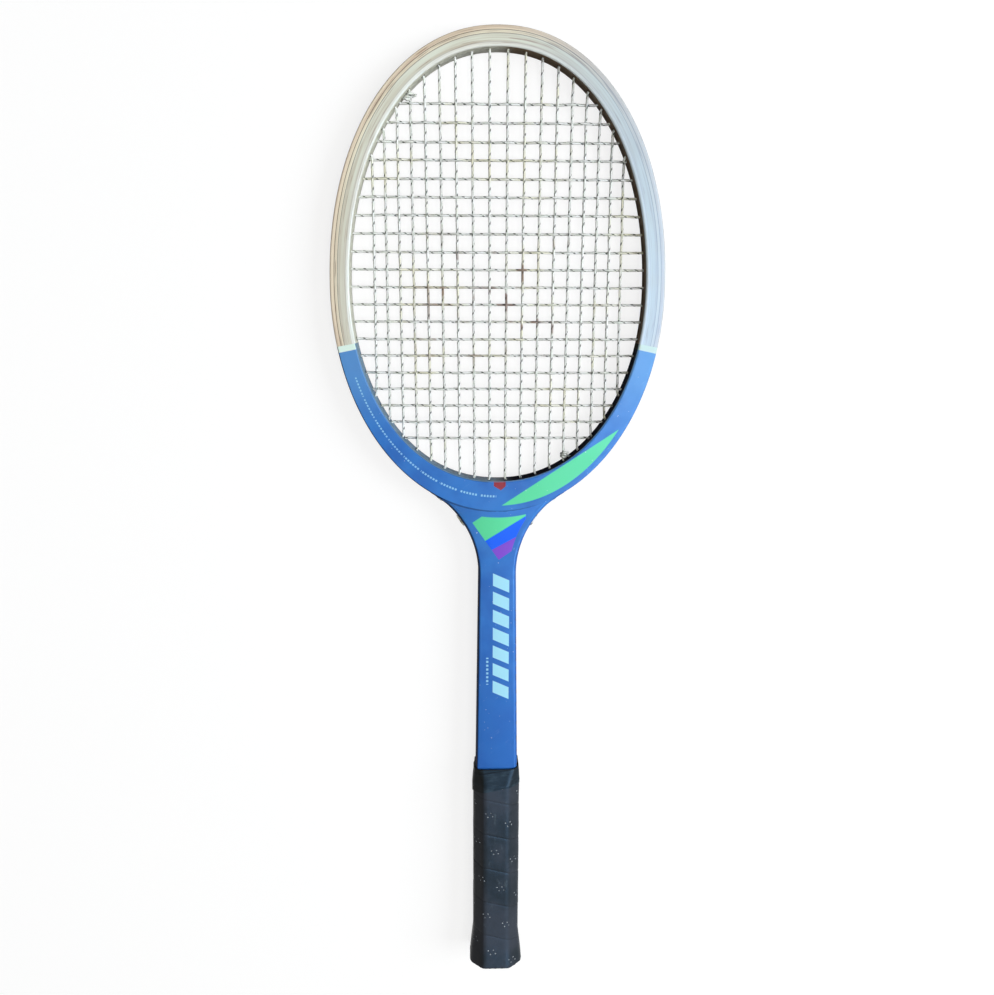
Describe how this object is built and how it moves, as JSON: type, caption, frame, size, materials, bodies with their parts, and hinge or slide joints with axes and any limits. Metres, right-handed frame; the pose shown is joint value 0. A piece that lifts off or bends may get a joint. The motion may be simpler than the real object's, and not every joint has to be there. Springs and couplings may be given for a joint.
{
  "type": "tennis racket",
  "caption": "Laminated wooden tennis racket: an oval bent hoop with a string bed, a throat wedge, a painted shaft and an octagonal handle with a wound grip.",
  "frame": {"origin": "centre of the flat end face of the butt", "axes": "+Y along the handle to the tip of the head, +X to the right across the head, +Z out of the front of the string bed, which lies in the plane z = 0"},
  "size_m": [0.2292, 0.686, 0.0374],
  "materials": {
    "pale_ash": "clear varnish, worn",
    "tan_beech": "clear varnish, worn",
    "blue_paint": "gloss enamel over wood, with plain diagonal stripes",
    "handle_wood": "sanded, unfinished",
    "cap_plastic": "matt moulded",
    "tack_steel": "bright",
    "grip_leather": "dark slate, perforated, worn smooth",
    "black_tape": "glossy",
    "string": "translucent nylon with a dark twisted tracer"
  },
  "bodies": {
    "root": {"outer_ply": "tan_beech", "second_ply": "tan_beech", "core_ply": "pale_ash", "inner_ply": "pale_ash", "throat_crescent": "blue_paint", "throat_wedge": "blue_paint", "left_side_strip": "blue_paint", "right_side_strip": "blue_paint", "left_core_strip": "blue_paint", "right_core_strip": "blue_paint", "front_pallet": "handle_wood", "back_pallet": "handle_wood", "butt_cap": "cap_plastic", "butt_tack_front": "tack_steel", "butt_tack_back": "tack_steel", "butt_tack_left": "tack_steel", "butt_tack_right": "tack_steel", "grip_wrap": "grip_leather", "finishing_tape": "black_tape", "main_string": "string", "cross_string": "string", "upper_knot": "string", "lower_knot": "string"}
  },
  "joints": []
}
